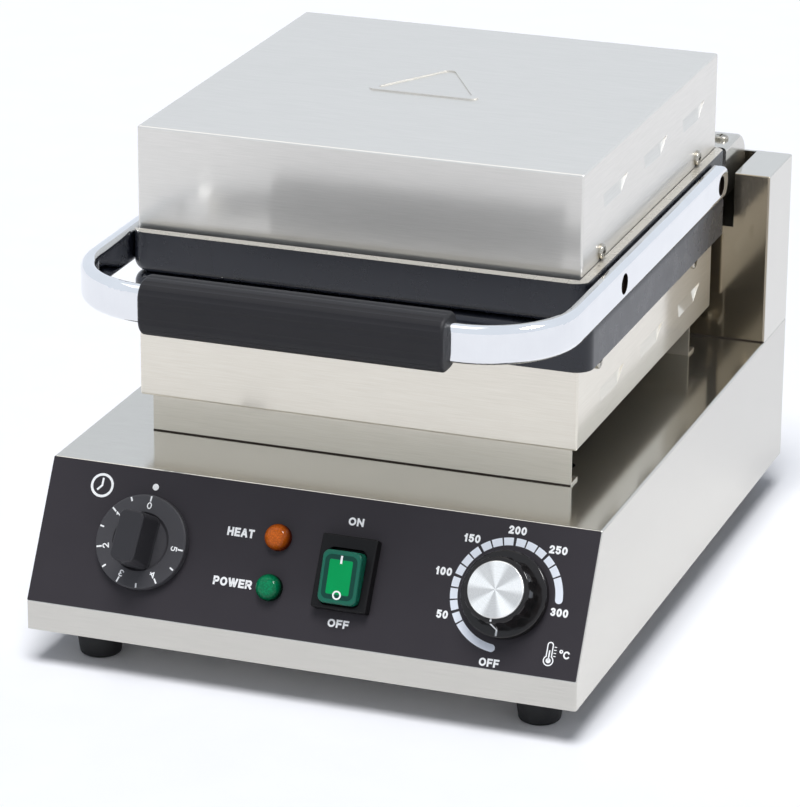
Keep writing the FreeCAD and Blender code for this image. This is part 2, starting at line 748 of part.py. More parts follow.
housing = block(-half_housing, half_housing, housing_front, housing_back, housing_z, lower_z)
housing = folded(housing, lower_z)
housing_floor = housing_z + sheet
housing = housing.cut(box_inside(half_housing, housing_front, housing_back, sheet, housing_floor, lower_z))
housing = louvred(housing, half_housing, unit_middle + housing_louvre_shift,
                  housing_z + housing_louvre_rise + louvre_height / 2)
housing_screw_z = lower_z - housing_screw_drop
housing_screws, housing_screw_holes = side_screws(half_housing, housing_screw_z)
housing = housing.cut(housing_screw_holes + [riser])
for x, y in stand_screw_spots:
    housing = housing.cut(rod(screw_radius + slip, V(x, y, housing_z), Z_AXIS, sheet))
save("lower_housing", housing)
save("housing_screws", *housing_screws)

shell = folded(block(-half_shell, half_shell, shell_front, shell_back, shell_z, lid_top_z), shell_z)
shell = shell.cut(box_inside(half_shell, shell_front, shell_back, sheet, shell_z, lid_top_z - sheet))
shell = louvred(shell, half_shell, unit_middle, shell_z + shell_louvre_rise + louvre_height / 2)
lid_screws, lid_screw_holes = side_screws(half_shell, shell_z + shell_screw_rise)


def triangle(side):
    """Flat triangle of the lid's emboss with its point to the back."""
    reach = side / math.sqrt(3)
    corners = []
    for i in range(3):
        angle = math.pi / 2 + i * 2 * math.pi / 3
        corner_x = triangle_x + reach * math.cos(angle)
        corner_y = front + triangle_y + reach * math.sin(angle)
        corners.append(V(corner_x, corner_y, lid_top_z))
    form = Part.Face(Part.makePolygon(corners + corners[:1])).extrude(V(0, 0, triangle_relief))
    uprights = [e for e in form.Edges if e.BoundBox.ZLength > triangle_relief / 2]
    return form.makeFillet(triangle_corner, uprights)


inner_side = triangle_side - triangle_bead * 2 * math.sqrt(3)
bead = triangle(triangle_side).cut(triangle(inner_side))
save("lid_shell", shell.cut(lid_screw_holes).fuse(bead))
save("lid_screws", *lid_screws)


# Cast plates: a solid web with a spigot inside the sheet box, and a diamond grid on the baking face
def casting(right, z0, z1, soft_z):
    """Plate blank with round corners, its edge at soft_z rounded."""
    blank = rounded_block(right - plate_left, plate_back - plate_front, plate_corner, z0, z1)
    blank = place(blank, V((plate_left + right) / 2, (plate_front + plate_back) / 2, 0))
    return blank.makeFillet(plate_edge, edges_at(blank, lambda p: near(p.z, soft_z)))


def baked(plate, face_z):
    """Plate with a round recess in its baking face and a diamond grid of grooves in the recess."""
    recess = rod(pattern_radius, V(0, unit_middle, face_z - pattern_recess), Z_AXIS, 2 * pattern_recess)
    plate = plate.cut(recess)
    depth = pattern_recess + pattern_depth
    count = int(pattern_radius / pattern_pitch)
    for turn in (45, 135):
        strips = []
        for i in range(-count, count + 1):
            low = i * pattern_pitch - pattern_groove / 2
            outer = abs(i) * pattern_pitch + pattern_groove / 2
            reach = math.sqrt(max(pattern_radius ** 2 - outer ** 2, 0))
            strip = block(-reach, reach, low, low + pattern_groove, -depth, depth)
            strips.append(place(strip, V(0, unit_middle, face_z), Z_AXIS, turn))
        plate = plate.cut(strips)
    return plate


lower_roof = parting_z - plate_web
upper_roof = upper_z + plate_web
outer_bend = pocket_half - heater_side_gap - heater_radius
heater_bends = (outer_bend, outer_bend - heater_spacing)
clamp_screw_x = outer_bend - heater_spacing / 2
heater_depth = seat_gap + 2 * heater_radius + seat_gap
clamp_depth = heater_depth + clamp_thickness
heater_y = outer_bend + heater_radius + heater_front_gap - pocket_reach
heater_tail = pocket_reach - heater_tail_gap - heater_pin_length
clamp_ys = (heater_y, heater_tail - clamp_setback)


def under_plate(shape, roof, flipped):
    """Copy of a heating piece, drawn below z = 0, set against the back of a plate's web."""
    return place(shape, V(0, unit_middle, roof), Y_AXIS, 180 if flipped else 0)


clamp_spots = [(sx * clamp_screw_x, y) for sx in (-1, 1) for y in clamp_ys]
bites = [rod(screw_radius + slip, V(x, y, 0), Z_AXIS, clamp_screw_bite + slip) for x, y in clamp_spots]

arm_end = plate_back - arm_tail
handle_spots = [plate_front + handle_screw_front, arm_end - handle_screw_rear]
handle_bore = handle_screw_grip + slip
handle_holes = []
for sx in (-1, 1):
    for y in handle_spots:
        start = V(upper_right if sx > 0 else plate_left, y, handle_z)
        handle_holes.append(rod(handle_screw_radius + slip, start, V(-sx, 0, 0), handle_bore))

lower_plate = casting(half_plate, lower_z, parting_z, parting_z)
spigot_z = lower_z - spigot_height
spigot = box_inside(half_housing, housing_front, housing_back, spigot_inset, spigot_z, lower_z)
pocket = box_inside(half_housing, housing_front, housing_back, pocket_inset, spigot_z, lower_roof)
lower_plate = lower_plate.fuse(spigot).cut(pocket)
lower_plate = lower_plate.cut([under_plate(b, lower_roof, False) for b in bites] + housing_screw_holes)
save("lower_plate", baked(lower_plate, parting_z))

lug_outline = [(plate_back - plate_edge, upper_z), (plate_back, upper_z), (hinge_y, hinge_z - lug_radius),
               (hinge_y, hinge_z + lug_radius), (plate_back - plate_edge, hinge_z + lug_radius)]
lug_start = V(lug_in, hinge_y, hinge_z)
lug = side_plate(lug_outline, lug_in, lug_out).fuse(rod(lug_radius, lug_start, X_AXIS, lug_width))
cover_screw_x = half_cover - cover_screw_inset
cover_screw_y = tower_front + cover_screw_setback
cover_top = hinge_z + cover_radius
cover_screw_tip = V(cover_screw_x, cover_screw_y, cover_top - screw_reach - slip)
cover_screw_hole = rod(screw_radius + slip, cover_screw_tip, Z_AXIS, screw_reach + 2 * sheet)
pin_hole = rod(pin_radius + slip, lug_start, X_AXIS, lug_width)
upper_plate = casting(upper_right, upper_z, rim_z, upper_z)
rebate = block(-half_plate, half_shell + seat_gap, plate_front + rim_width, shell_back + seat_gap,
               shell_z, rim_z)
spigot_z = shell_z + spigot_height
spigot = box_inside(half_shell, shell_front, shell_back, spigot_inset, shell_z, spigot_z)
pocket = box_inside(half_shell, shell_front, shell_back, pocket_inset, upper_roof, spigot_z)
upper_plate = upper_plate.cut(rebate).fuse(spigot).cut(pocket)
upper_bites = [under_plate(b, upper_roof, True) for b in bites]
upper_plate = upper_plate.cut(upper_bites + lid_screw_holes + handle_holes)
upper_plate = upper_plate.fuse([lug, mirrored(lug)])
upper_plate = upper_plate.cut([pin_hole, mirrored(pin_hole), cover_screw_hole, mirrored(cover_screw_hole)])
save("upper_plate", baked(upper_plate, upper_z))


# Heating: two bent tubular elements under each web, held by clamp bars, with a slab of wool behind
def element(bend):
    """Hairpin heater with its bend to the front and two contact pins at the back."""
    z = -seat_gap - heater_radius
    left = [V(-bend, heater_tail, z), V(-bend, heater_y, z)]
    right = [V(bend, heater_y, z), V(bend, heater_tail, z)]
    path = Part.Wire([Part.LineSegment(*left).toShape(),
                      Part.Arc(left[1], V(0, heater_y - bend, z), right[0]).toShape(),
                      Part.LineSegment(*right).toShape()])
    ends = [V(sx * bend, heater_tail, z) for sx in (-1, 1)]
    pins = [rod(heater_pin_radius, end, Y_AXIS, heater_pin_length) for end in ends]
    return tube(path, heater_radius).fuse(pins)


clamp_half = outer_bend + clamp_overhang
clamp = block(-clamp_half, clamp_half, -clamp_width / 2, clamp_width / 2, -clamp_depth, -heater_depth)
clamps = []
for y in clamp_ys:
    bar = place(clamp, V(0, y, 0))
    for sx in (-1, 1):
        hole = V(sx * clamp_screw_x, y, -clamp_depth)
        bar = bar.cut(rod(screw_radius + slip, hole, Z_AXIS, clamp_thickness))
    clamps.append(bar)
clamp_screw = place(pan_screw(clamp_depth + clamp_screw_bite), V(0, 0, -clamp_depth), X_AXIS, 180)
clamp_screws = [place(clamp_screw, V(x, y, 0)) for x, y in clamp_spots]
elements = [element(bend) for bend in heater_bends]
for side, roof, flipped in (("lower", lower_roof, False), ("upper", upper_roof, True)):
    save(side + "_heater", *[under_plate(e, roof, flipped) for e in elements])
    save(side + "_clamps", *[under_plate(c, roof, flipped) for c in clamps])
    save(side + "_clamp_screws", *[under_plate(s, roof, flipped) for s in clamp_screws])
wool_front = plate_front + insulation_inset
wool_back = plate_back - insulation_inset
wool_roof = lid_top_z - sheet
save("lower_insulation", block(-wool_half, wool_half, wool_front, wool_back, housing_floor,
                               housing_floor + lower_insulation_thickness))
save("upper_insulation", block(-wool_half, wool_half, wool_front, wool_back,
                               wool_roof - upper_insulation_thickness, wool_roof))

# Thermostat capillary: from the body behind the panel, up through the deck, to a bulb under the lower web
panel_in = V(0, math.cos(slope), -math.sin(slope))
case_back = V(thermostat_u, front + control_v * math.sin(slope), lip_z + control_v * math.cos(slope))
case_back = case_back + panel_in * (sheet + thermostat_box_depth)
turn = case_back + panel_in * capillary_run
bulb_z = lower_roof - seat_gap - bulb_radius
bulb_start = V(riser_x, riser_y + bulb_setback, bulb_z)
route = [case_back, turn, V(riser_x, riser_y, turn.z), V(riser_x, riser_y, bulb_z), bulb_start]
capillary = tube(bent_path(route, capillary_bend), capillary_radius)
save("thermostat_capillary", capillary.fuse(rod(bulb_radius, bulb_start, Y_AXIS, bulb_length)))


# Hinge cover: a stainless channel over the lugs, round behind so that it turns in the notch
def cover_form(radius, half_width, drop, start):
    """Cover outline of a given rounding, as a solid across the machine."""
    form = block(-half_width, half_width, start, hinge_y, hinge_z - drop, hinge_z + radius)
    return form.fuse(rod(radius, V(-half_width, hinge_y, hinge_z), X_AXIS, 2 * half_width)).removeSplitter()


cover_inside = half_cover - sheet
cover = cover_form(cover_radius, half_cover, cover_drop, tower_front)
cover_rim = [e for e in cover.Edges if near(e.BoundBox.XLength, 0) and e.BoundBox.ZMax > cover_top - slip]
cover_rim = [e for e in cover_rim if e.BoundBox.YLength > sheet]
cover = cover.makeFillet(cover_bend, cover_rim)
cover = cover.cut(cover_form(cover_radius - sheet, cover_inside, 2 * cover_radius, tower_front - sheet))
cover = cover.cut(block(-cover_inside, cover_inside, tower_front, hinge_y + cover_radius,
                        hinge_z - 2 * cover_radius, hinge_z))
save("hinge_cover", cover.cut([cover_screw_hole, mirrored(cover_screw_hole)]))
cover_screw = place(pan_screw(screw_reach), V(cover_screw_x, cover_screw_y, cover_top))
save("hinge_cover_screws", cover_screw, mirrored(cover_screw))

# Handle: a chromed flat bar bent round the front, screwed to the casting's sides, with a fluted sleeve
path = bent_path([V(bar_left, arm_end, handle_z), V(bar_left, bar_y, handle_z),
                  V(bar_right, bar_y, handle_z), V(bar_right, arm_end, handle_z)], bar_corner)
section = rounded_outline(bar_thickness, bar_height, bar_edge)
section = place(section, V(bar_left, arm_end, handle_z), X_AXIS, 90)
bar = path.makePipeShell([section], True, False)
half_bar = bar_right + bar_thickness
tip_y = arm_end - bar_height / 2
keep = block(-half_bar, half_bar, bar_y - bar_thickness, tip_y, handle_z - bar_height, handle_z + bar_height)
keep = keep.fuse(rod(bar_height / 2, V(-half_bar, tip_y, handle_z), X_AXIS, 2 * half_bar))
bar = bar.common(keep)
sides = ((-1, plate_left), (1, upper_right))
handle_shank = bar_thickness - handle_sink + handle_screw_grip
socket = hexagon(handle_screw_radius, handle_head_height)
handle_screws = []
for sx, side_x in sides:
    for y in handle_spots:
        inward = V(-sx, 0, 0)
        head_seat = V(side_x + sx * (bar_thickness - handle_sink), y, handle_z)
        bar = bar.cut(rod(handle_head_radius + slip, head_seat, V(sx, 0, 0), handle_sink))
        bar = bar.cut(rod(handle_screw_radius + slip, head_seat, inward, bar_thickness - handle_sink))
        screw = rod(handle_head_radius, V(0, 0, 0), Z_AXIS, handle_head_height)
        screw = screw.fuse(rod(handle_screw_radius, V(0, 0, 0), -Z_AXIS, handle_shank))
        screw = screw.cut(place(socket, V(0, 0, handle_head_height / 3)))
        handle_screws.append(place(screw, head_seat, Y_AXIS, sx * 90))
save("handle_bar", bar)
save("handle_screws", *handle_screws)

grip = rounded_block(grip_depth, grip_height, grip_corner, -grip_length / 2, grip_length / 2)
grip_ends = [e for e in grip.Edges if near(e.BoundBox.ZLength, 0)]
grip = grip.makeFillet(grip_end_radius, grip_ends)
flute_offset = grip_flute_radius - grip_flute_depth
flute_line = rounded_outline(grip_depth + 2 * flute_offset, grip_height + 2 * flute_offset,
                             grip_corner + flute_offset, -grip_length / 2)
for spot in flute_line.discretize(Number=grip_flutes + 1)[:-1]:
    grip = grip.cut(rod(grip_flute_radius, spot, Z_AXIS, grip_length))
bar_room = rounded_block(bar_thickness + 2 * slip, bar_height + 2 * slip, bar_edge + slip,
                         -grip_length, grip_length)
grip = grip.cut(bar_room)
grip = place(grip, V(0, 0, 0), Y_AXIS, 90)
save("handle_grip", place(grip, V(grip_x, bar_y, handle_z), X_AXIS, 90))
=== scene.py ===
# Waffle cone maker: hinged cast plates with a looped handle, on a stainless cabinet with a sloped panel.
# Metres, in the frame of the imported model: +Z is up and -Y is the front.
import math

import bmesh
import bpy
from mathutils import Matrix, Vector


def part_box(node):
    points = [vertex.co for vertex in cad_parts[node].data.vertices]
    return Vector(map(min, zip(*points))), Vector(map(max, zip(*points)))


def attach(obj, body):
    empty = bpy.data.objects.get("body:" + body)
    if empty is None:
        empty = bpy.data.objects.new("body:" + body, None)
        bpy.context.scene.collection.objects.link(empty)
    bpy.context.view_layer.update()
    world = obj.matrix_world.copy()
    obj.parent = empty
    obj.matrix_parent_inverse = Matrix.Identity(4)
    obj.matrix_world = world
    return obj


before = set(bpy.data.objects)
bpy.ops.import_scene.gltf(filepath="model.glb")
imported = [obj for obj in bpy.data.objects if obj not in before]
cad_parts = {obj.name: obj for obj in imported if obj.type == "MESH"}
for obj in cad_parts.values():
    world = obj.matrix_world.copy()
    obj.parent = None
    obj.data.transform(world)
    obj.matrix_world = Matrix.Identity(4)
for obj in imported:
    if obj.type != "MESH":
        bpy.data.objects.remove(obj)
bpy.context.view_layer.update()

# Cabinet, stands, tower and lid: 1.2 mm stainless sheet, cut, folded and spot welded. Its hairline finish
# smears reflections across the hairs. The cabinet is bright, the lid is wiped dull, the sheet round the
# heaters has a straw tint, and the faces of the tower that look to the front are tinted a darker brown.
MM = 0.001


def linear(hex_colour):
    """Colour that a shader takes, from an sRGB hex value."""
    channels = [int(hex_colour[i:i + 2], 16) / 255 for i in (1, 3, 5)]
    return [c / 12.92 if c <= 0.04045 else ((c + 0.055) / 1.055) ** 2.4 for c in channels] + [1.0]


def node(tree, kind, inputs=None, **settings):
    """Add a node with its settings, and set or link its inputs."""
    made = tree.nodes.new("ShaderNode" + kind)
    for name, value in settings.items():
        setattr(made, name, value)
    for socket, value in (inputs or {}).items():
        if isinstance(value, bpy.types.NodeSocket):
            tree.links.new(value, made.inputs[socket])
        else:
            made.inputs[socket].default_value = value
    return made


def new_material(name, constants):
    """Material with one principled shader whose constant sockets are set."""
    material = bpy.data.materials.new(name)
    material.use_nodes = True
    shader = material.node_tree.nodes["Principled BSDF"]
    for socket, value in constants.items():
        shader.inputs[socket].default_value = value
    return material, material.node_tree, shader


def per_metre(*millimetres):
    """Pattern scale along each axis for features of these sizes."""
    return [1 / (size * MM) for size in millimetres]


def dress(material, *names):
    """Give CAD nodes a finished material in place of their plain one."""
    for name in names:
        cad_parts[name].data.materials.clear()
        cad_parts[name].data.materials.append(material)


def hairline_stainless(name, dark, light, dullness, front_tint_share=0.0):
    """Hairline stainless: pale metal, sharp along its hairs and blurred across them."""
    hair_length = 14.0
    hair_width = 0.35  # drawn coarser than the real 0.05 mm, so that it shows
    smudge = 90.0
    front_tint = "#8f8471"
    material, tree, shader = new_material(name, {"Metallic": 1.0, "Anisotropic": 0.85,
                                                 "Anisotropic Rotation": 0.25})
    place = node(tree, "TexCoord")
    facing = node(tree, "SeparateXYZ", {0: place.outputs["Normal"]})
    sideways = node(tree, "Math", {0: facing.outputs["X"]}, operation="ABSOLUTE")
    on_side = node(tree, "Math", {0: sideways.outputs[0], 1: 0.7}, operation="GREATER_THAN")
    hairs = []
    for sizes in ((hair_length, hair_width, hair_width), (hair_width, hair_length, hair_width)):
        stretched = node(tree, "Mapping", {"Vector": place.outputs["Object"], "Scale": per_metre(*sizes)})
        hairs.append(node(tree, "TexNoise", {"Vector": stretched.outputs[0], "Scale": 1.0, "Detail": 2.0}))
    hair = node(tree, "Mix", {0: on_side.outputs[0], 2: hairs[0].outputs[0], 3: hairs[1].outputs[0]})
    cloud = node(tree, "TexNoise", {"Vector": place.outputs["Object"], "Scale": per_metre(smudge)[0],
                                    "Detail": 3.0})
    shade = node(tree, "Mix", {0: hair.outputs[0], 6: linear(dark), 7: linear(light)}, data_type="RGBA")
    # Faces that look to the front are mixed towards a darker brown, by the given share.
    to_front = node(tree, "Math", {0: facing.outputs["Y"], 1: -0.5}, operation="LESS_THAN")
    front_tinted = node(tree, "Math", {0: to_front.outputs[0], 1: front_tint_share}, operation="MULTIPLY")
    colour = node(tree, "Mix", {0: front_tinted.outputs[0], 6: shade.outputs[2], 7: linear(front_tint)},
                  data_type="RGBA")
    haze = node(tree, "MapRange", {0: cloud.outputs[0], 3: 0.09, 4: 0.15})
    worn = node(tree, "MapRange", {0: hair.outputs[0], 3: -0.03, 4: 0.03})
    rough = node(tree, "Math", {0: haze.outputs[0], 1: worn.outputs[0]})
    along = node(tree, "Mix", {0: on_side.outputs[0], 4: (1, 0, 0), 5: (0, 1, 0)}, data_type="VECTOR")
    tangent = node(tree, "VectorTransform", {0: along.outputs[1]}, convert_from="OBJECT", convert_to="WORLD")
    ridge = node(tree, "Bump", {"Height": hair.outputs[0], "Strength": 0.08, "Distance": 0.02 * MM})
    tree.links.new(colour.outputs[2], shader.inputs["Base Color"])
    tree.links.new(rough.outputs[0], shader.inputs["Roughness"])
    tree.links.new(tangent.outputs[0], shader.inputs["Tangent"])
    tree.links.new(ridge.outputs[0], shader.inputs["Normal"])
    bloom = node(tree, "BsdfPrincipled", {"Base Color": colour.outputs[2], "Metallic": 1.0,
                                          "Roughness": 0.45})
    both = node(tree, "MixShader", {0: dullness, 1: shader.outputs[0], 2: bloom.outputs[0]})
    tree.links.new(both.outputs[0], tree.nodes["Material Output"].inputs["Surface"])
    return material


dress(hairline_stainless("bright_hairline_stainless", "#c4c1ba", "#d4d1c9", 0.12),
      "base_housing", "base_floor", "hinge_cover")
dress(hairline_stainless("front_tinted_hairline_stainless", "#cdcac3", "#dddad2", 0.15, 0.9), "rear_tower")
dress(hairline_stainless("wiped_hairline_stainless", "#d3d0ca", "#e7e4de", 0.65), "lid_shell")
dress(hairline_stainless("straw_hairline_stainless", "#d8d2c6", "#ece6d9", 0.4),
      "lower_housing", "front_stand", "rear_stand")


# Feet: four moulded black rubber cones, each fixed by a screw in its recess and a nut inside the cabinet.
# Rubber is dull, with a dusty bloom.
def moulded(name, dark, light, roughness, grain_mm, depth_mm, **constants):
    """Plastic, rubber, ink or the like: grain of a real size, two close tones and an even gloss."""
    cloud_mm = 25.0
    sockets = {socket.replace("_", " "): value for socket, value in constants.items()}
    material, tree, shader = new_material(name, sockets)
    place = node(tree, "TexCoord")
    grain = node(tree, "TexNoise", {"Vector": place.outputs["Object"], "Scale": per_metre(grain_mm)[0],
                                    "Detail": 3.0})
    cloud = node(tree, "TexNoise", {"Vector": place.outputs["Object"], "Scale": per_metre(cloud_mm)[0],
                                    "Detail": 2.0})
    tone = node(tree, "Mix", {0: cloud.outputs[0], 6: linear(dark), 7: linear(light)}, data_type="RGBA")
    gloss = node(tree, "MapRange", {0: grain.outputs[0], 3: roughness - 0.06, 4: roughness + 0.06})
    pits = node(tree, "Bump", {"Height": grain.outputs[0], "Strength": 0.6, "Distance": depth_mm * MM})
    tree.links.new(tone.outputs[2], shader.inputs["Base Color"])
    tree.links.new(gloss.outputs[0], shader.inputs["Roughness"])
    tree.links.new(pits.outputs[0], shader.inputs["Normal"])
    return material


dress(moulded("moulded_rubber", "#101011", "#1b1b1c", 0.7, 0.6, 0.04), "feet")

# Control film: a black polycarbonate sheet, printed in white and glued to the sloped face. Its satin front
# has a fine even texture. The words and scales are ink on it, a few hundredths of a millimetre thick.
SLOPE = math.radians(29.90)
LIP_HEIGHT = 30.0 * MM
FILM = 0.5
INK = 0.04
panel_up = Vector((0, math.sin(SLOPE), math.cos(SLOPE)))
panel_out = Vector((0, -math.cos(SLOPE), math.sin(SLOPE)))
panel_foot = Vector((0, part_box("base_housing")[0].y, LIP_HEIGHT))


def panel_frame(u=0.0, v=0.0, h=0.0):
    """Frame in millimetres on the panel: x across, y up the slope, z out of it."""
    across = Vector((1, 0, 0))
    turned = Matrix((across, panel_up, panel_out)).transposed().to_4x4()
    return Matrix.Translation(panel_foot) @ turned @ Matrix.Scale(MM, 4) @ Matrix.Translation((u, v, h))


def arc(centre, radius, start, end, steps=24, tall=1.0):
    """Points round a circle, or an oval if tall isn't 1, from one angle to another in degrees."""
    angles = [math.radians(start + (end - start) * i / steps) for i in range(steps + 1)]
    return [(centre[0] + radius * math.cos(a), centre[1] + radius * tall * math.sin(a)) for a in angles]


def stroke(mesh, points, width, closed=False, low=0.0, high=INK):
    """Flat line of ink along points in the XY plane."""
    sharpest = 0.4  # keeps the mitres short at sharp bends
    count = len(points)
    rows = []
    for i, (x, y) in enumerate(points):
        before = points[i - 1] if i or closed else points[i]
        after = points[(i + 1) % count] if i < count - 1 or closed else points[i]
        first = Vector((x - before[0], y - before[1]))
        last = Vector((after[0] - x, after[1] - y))
        along = (first.normalized() + last.normalized()).normalized()
        reach = width / 2 / max(along.dot((last if last.length else first).normalized()), sharpest)
        side = Vector((-along.y, along.x)) * reach
        section = ((1, high), (-1, high), (-1, low), (1, low))
        corners = [(x + s * side.x, y + s * side.y, z) for s, z in section]
        rows.append([mesh.verts.new(corner) for corner in corners])
    for i in range(count if closed else count - 1):
        row, following = rows[i], rows[(i + 1) % count]
        for k in range(4):
            mesh.faces.new((row[k], row[(k + 1) % 4], following[(k + 1) % 4], following[k]))
    if not closed:
        mesh.faces.new(rows[0][::-1])
        mesh.faces.new(rows[-1])


def dot(mesh, centre, radius, low=0.0, high=INK):
    """Round spot of ink."""
    spot = Matrix.Translation((centre[0], centre[1], (low + high) / 2))
    bmesh.ops.create_cone(mesh, cap_ends=True, segments=32, radius1=radius, radius2=radius, depth=high - low,
                          matrix=spot)


# Bold capitals and figures as pen strokes in a unit box, each with its width over its height first
LETTER_GAP = 0.12
OVAL = arc((0.5, 0.5), 0.5, 0, 360)
BOWL = [(0, 0), (0, 1), *arc((0.72, 0.72), 0.28, 90, -90, 10), (0, 0.44)]
LETTERS = {
    "A": (0.95, [(0, 0), (0.42, 1), (0.58, 1), (1, 0)], [(0.2, 0.3), (0.8, 0.3)]),
    "C": (0.95, arc((0.5, 0.5), 0.5, 42, 318)),
    "E": (0.82, [(1, 0), (0, 0), (0, 1), (1, 1)], [(0, 0.51), (0.92, 0.51)]),
    "F": (0.78, [(0, 0), (0, 1), (1, 1)], [(0, 0.48), (0.86, 0.48)]),
    "H": (0.92, [(0, 0), (0, 1)], [(1, 0), (1, 1)], [(0, 0.5), (1, 0.5)]),
    "N": (0.92, [(0, 0), (0, 1)], [(0.07, 0.93), (0.93, 0.07)], [(1, 0), (1, 1)]),
    "O": (1.02, OVAL),
    "P": (0.85, BOWL),
    "R": (0.92, BOWL, [(0.5, 0.44), (1, 0)]),
    "T": (0.85, [(0, 1), (1, 1)], [(0.5, 1), (0.5, 0)]),
    "W": (1.35, [(0, 1), (0.22, 0), (0.3, 0), (0.46, 1), (0.54, 1), (0.7, 0), (0.78, 0), (1, 1)]),
    "0": (0.74, OVAL),
    "1": (0.5, [(0.7, 0), (0.7, 1)], [(0.05, 0.74), (0.7, 0.96)]),
    "2": (0.72, [*arc((0.5, 0.72), 0.48, 165, -35, 12, 0.58), (0.14, 0.12)], [(0, 0), (1, 0)]),
    "3": (0.72, arc((0.48, 0.77), 0.45, 150, -85, 12, 0.5), arc((0.5, 0.27), 0.48, 85, -150, 12, 0.56)),
    "4": (0.78, [(0.74, 0), (0.74, 1)], [(0.7, 0.94), (0.08, 0.34)], [(0, 0.27), (1, 0.27)]),
    "5": (0.72, [(0.92, 1), (0.14, 1), (0.08, 0.62)], arc((0.48, 0.32), 0.5, 120, -150, 14, 0.64)),
}


def words(mesh, text, centre, height, weight, width=None, turn=0.0):
    """Lettering drawn with one pen weight, centred on a point and turned in the plane."""
    lift = 0.1  # share of the ink by which each stroke of a letter lies above the last
    natural = height * (sum(LETTERS[letter][0] for letter in text) + LETTER_GAP * (len(text) - 1))
    scale = (width or natural) / natural * height
    turned = Matrix.Rotation(math.radians(turn), 2)
    left = -(width or natural) / 2
    for letter in text:
        span = LETTERS[letter][0] * scale
        for k, line in enumerate(LETTERS[letter][1:]):
            flat = [Vector((left + weight / 2 + x * (span - weight), (y - 0.5) * (height - weight)))
                    for x, y in line]
            closed = (flat[0] - flat[-1]).length < INK
            if not closed:
                flat[0] += (flat[0] - flat[1]).normalized() * weight / 2
                flat[-1] += (flat[-1] - flat[-2]).normalized() * weight / 2
            points = [Vector(centre) + turned @ spot for spot in flat]
            stroke(mesh, points[:-1] if closed else points, weight, closed, high=INK * (1 + lift * k))
        left += span + LETTER_GAP * scale


def piece(name, mesh, matrix, material, body, smooth=False):
    """Finished piece from a mesh drawn in its own frame, riding on a CAD body."""
    bmesh.ops.recalc_face_normals(mesh, faces=mesh.faces)
    data = bpy.data.meshes.new(name)
    mesh.to_mesh(data)
    mesh.free()
    data.transform(matrix)
    data.materials.append(material)
    for face in data.polygons:
        face.use_smooth = smooth
    made = bpy.data.objects.new(name, data)
    bpy.context.scene.collection.objects.link(made)
    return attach(made, body)


dress(moulded("satin_polycarbonate_film", "#343135", "#39363a", 0.36, 0.25, 0.006, Specular_IOR_Level=0.15),
      "control_overlay")
white_ink = moulded("white_screen_ink", "#f4f5f6", "#fafbfb", 0.5, 0.2, 0.004)
blue_ink = moulded("pale_blue_screen_ink", "#e2e8f2", "#eaeff7", 0.5, 0.2, 0.004)

PEN = 0.24
INDEX_DOT = (-75.4, 56.74)
INDEX_RADIUS = 1.45
CLOCK = (-100.05, 54.35)
CLOCK_RADIUS = 4.75
CLOCK_LINE = 1.1
MINUTE_TIP = (-99.95, 57.65)
HOUR_TIP = (-102.05, 52.15)
HAND_LINE = 0.9
# Each label has its text, its middle, its height and its width
LABELS = (("HEAT", (-33.05, 42.5), 3.8, 12.35), ("POWER", (-32.75, 20.7), 3.8, 17.7),
          ("ON", (17.5, 53.87), 3.5, 6.95), ("OFF", (17.6, 9.8), 3.5, 9.6), ("OFF", (86.2, 3.0), 3.5, 8.85),
          ("50", (62.3, 20.3), 3.5, 5.1), ("100", (59.75, 38.47), 3.5, 7.2), ("150", (69.6, 53.9), 3.5, 7.2),
          ("200", (88.73, 59.87), 3.5, 7.9), ("250", (107.67, 53.97), 3.5, 8.0),
          ("300", (112.65, 28.0), 3.5, 7.8))
ink = bmesh.new()
dot(ink, INDEX_DOT, INDEX_RADIUS)
stroke(ink, arc(CLOCK, CLOCK_RADIUS, 0, 360, 48)[:-1], CLOCK_LINE, closed=True)
stroke(ink, [MINUTE_TIP, CLOCK, HOUR_TIP], HAND_LINE)
for text, centre, height, width in LABELS:
    words(ink, text, centre, height, PEN * height, width)

# Thermometer sign beside the scale, drawn as an outline with its column and four marks
BULB = (111.4, 7.5)
STEM_TOP = 14.1
STEM_HALF = 1.15
BULB_RADIUS = 2.05
BULB_LINE = 0.5
MERCURY_RADIUS = 1.1
MERCURY_LINE = 0.6
MERCURY_DROP = 2.2
MARK_COUNT = 4
MARK_DROP = 0.6
MARK_STEP = 1.3
MARK_REACH = (1.8, 2.9)
MARK_LINE = 0.35
DEGREE = (116.4, 12.0)
DEGREE_RING = 0.55
DEGREE_LETTER = (118.9, 10.8)
LETTER_HEIGHT = 3.3
LETTER_LINE = 0.7
LETTER_WIDTH = 3.0
shoulder = math.degrees(math.asin(STEM_HALF / BULB_RADIUS))
outline = arc(BULB, BULB_RADIUS, 90 + shoulder, 450 - shoulder, 24)
outline += arc((BULB[0], STEM_TOP), STEM_HALF, 0, 180, 10)
stroke(ink, outline, BULB_LINE, closed=True)
dot(ink, BULB, MERCURY_RADIUS)
stroke(ink, [BULB, (BULB[0], STEM_TOP - MERCURY_DROP)], MERCURY_LINE)
for i in range(MARK_COUNT):
    mark = STEM_TOP - MARK_DROP - MARK_STEP * i
    stroke(ink, [(BULB[0] + reach, mark) for reach in MARK_REACH], MARK_LINE)
stroke(ink, arc(DEGREE, DEGREE_RING, 0, 360, 20)[:-1], DEGREE_RING, closed=True)
words(ink, "C", DEGREE_LETTER, LETTER_HEIGHT, LETTER_LINE, LETTER_WIDTH)
piece("panel_print", ink, panel_frame(h=FILM), white_ink, "base")

